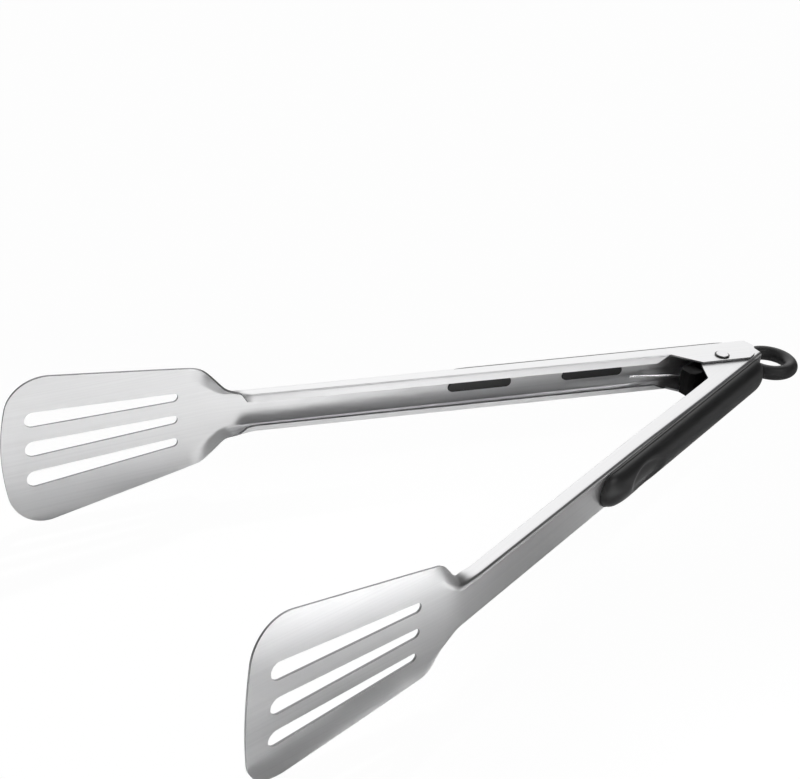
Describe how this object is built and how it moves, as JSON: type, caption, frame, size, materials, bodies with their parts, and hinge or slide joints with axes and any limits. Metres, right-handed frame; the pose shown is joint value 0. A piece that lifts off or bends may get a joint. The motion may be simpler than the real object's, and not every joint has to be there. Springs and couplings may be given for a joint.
{
  "type": "spatula tongs",
  "caption": "Locking kitchen tongs with two slotted turner blades, folded steel arms, soft grips, a hinge spring and a pull ring.",
  "frame": {"origin": "middle of the bounding box's underside, with the tongs open as in the picture", "axes": "+Z along the hinge pivot and up the blades' width; the upper arm's tip points towards -X; the lower arm swings out towards -Y"},
  "size_m": [0.3352, 0.183, 0.059],
  "materials": {
    "arm_steel": "lengthwise brushed stainless sheet",
    "bright_steel": "bright drawn wire and turned rivet",
    "soft_black": "satin soft-touch moulding",
    "black_plastic": "smooth satin nylon",
    "dark_grey_soft": "satin dark grey soft-touch moulding"
  },
  "bodies": {
    "upper_arm": {"upper_arm": "arm_steel", "upper_grip": "soft_black", "pivot_rivet": "bright_steel"},
    "lower_arm": {"lower_arm": "arm_steel", "lower_grip": "soft_black"},
    "hinge_core": {"pivot_sleeve": "bright_steel", "torsion_spring": "bright_steel"},
    "lock": {"lock_slider": "black_plastic", "pull_ring": "dark_grey_soft"}
  },
  "joints": [
    {"name": "arm_hinge", "type": "hinge", "parent": "upper_arm", "child": "lower_arm", "pos_m": [0.1243, 0.06943, 0.02952], "axis": [0, 0, -1], "range_deg": [0, 31.8], "stiffness_Nm_per_rad": 0.35, "springref_deg": -20.05, "deforming": ["torsion_spring"]},
    {"name": "core_turn", "type": "hinge", "parent": "upper_arm", "child": "hinge_core", "pos_m": [0.1243, 0.06943, 0.02952], "axis": [0, 0, -1], "range_deg": [0, 16]},
    {"name": "lock_slide", "type": "slide", "parent": "hinge_core", "child": "lock", "axis": [0.9553, 0.2957, 0], "range_m": [0, 0.011]}
  ],
  "couplings": [
    {"joint": "core_turn", "follows": "arm_hinge", "ratio": 0.5},
    {"joint": "lock_slide", "follows": "arm_hinge", "m_per_rad": 0.01972}
  ]
}
